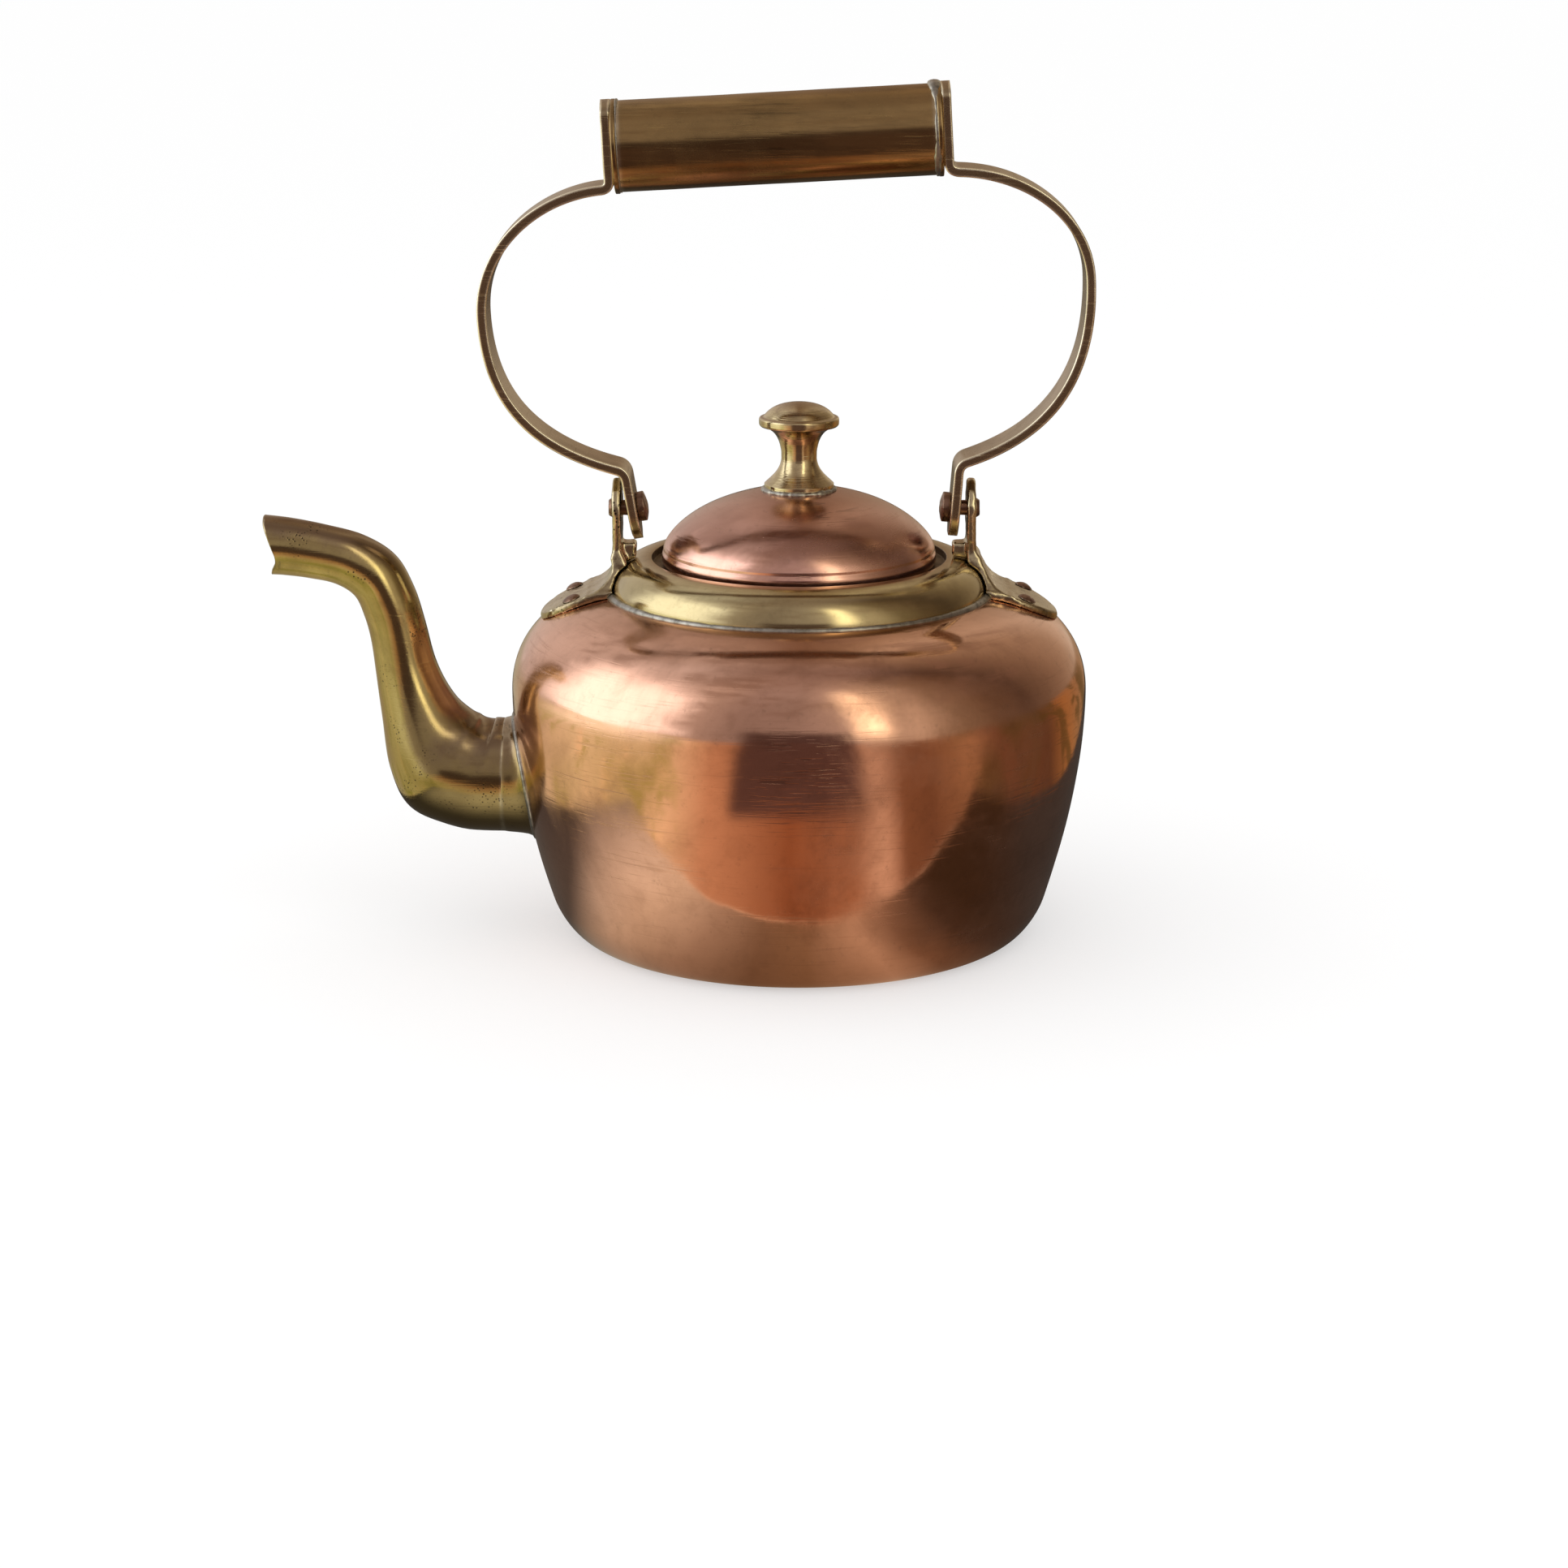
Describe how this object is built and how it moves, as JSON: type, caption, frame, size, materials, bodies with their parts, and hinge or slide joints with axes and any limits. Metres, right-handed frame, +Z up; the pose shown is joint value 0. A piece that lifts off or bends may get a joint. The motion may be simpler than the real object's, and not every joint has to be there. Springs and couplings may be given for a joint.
{
  "type": "kettle",
  "caption": "Copper kettle with a gooseneck brass spout, a brass collar, a domed lift-off lid with a turned knob, and a swing handle with a tubular brass grip.",
  "frame": {"origin": "middle of the flat base, on the table", "axes": "+Z up, the spout points to -X, and the handle swings about an axis along X"},
  "size_m": [0.2716, 0.19, 0.2805],
  "materials": {
    "body_copper": "polished copper with a light brown patina and fine wiping scratches",
    "lid_copper": "polished pink copper, softly dented",
    "rivet_copper": "dark copper, hammered",
    "cast_brass": "polished cast brass with pits and tarnish in the corners",
    "sheet_brass": "polished brass, lightly tarnished",
    "turned_brass": "lathe turned brass with fine rings",
    "bar_brass": "brown tarnished brass with bright worn edges",
    "grip_brass": "handled brass tube with a brown patina",
    "solder": "dull grey lead-tin solder"
  },
  "bodies": {
    "root": {"body_shell": "body_copper", "base_plate": "body_copper", "base_braze": "cast_brass", "collar": "sheet_brass", "collar_solder": "solder", "spout_foot": "cast_brass", "spout": "cast_brass", "spout_solder": "solder", "bracket_left": "cast_brass", "bracket_right": "cast_brass", "bracket_rivets_left": "rivet_copper", "bracket_rivets_right": "rivet_copper"},
    "lid": {"lid_dome": "lid_copper", "lid_band": "sheet_brass", "lid_knob": "turned_brass", "knob_solder": "solder", "knob_burr": "rivet_copper"},
    "handle": {"strap_left": "bar_brass", "strap_right": "bar_brass", "pivot_rivet_left": "rivet_copper", "pivot_rivet_right": "rivet_copper", "grip_tube": "grip_brass", "grip_end_left": "grip_brass", "grip_end_right": "grip_brass", "grip_solder_left": "solder", "grip_solder_right": "solder"}
  },
  "joints": [
    {"name": "handle_swing", "type": "hinge", "parent": "root", "child": "handle", "pos_m": [0, 0, 0.1414], "axis": [1, 0, 0], "range_deg": [-105, 105]},
    {"name": "lid_lift", "type": "slide", "parent": "root", "child": "lid", "axis": [0, 0, 1], "range_m": [0, 0.055]}
  ]
}
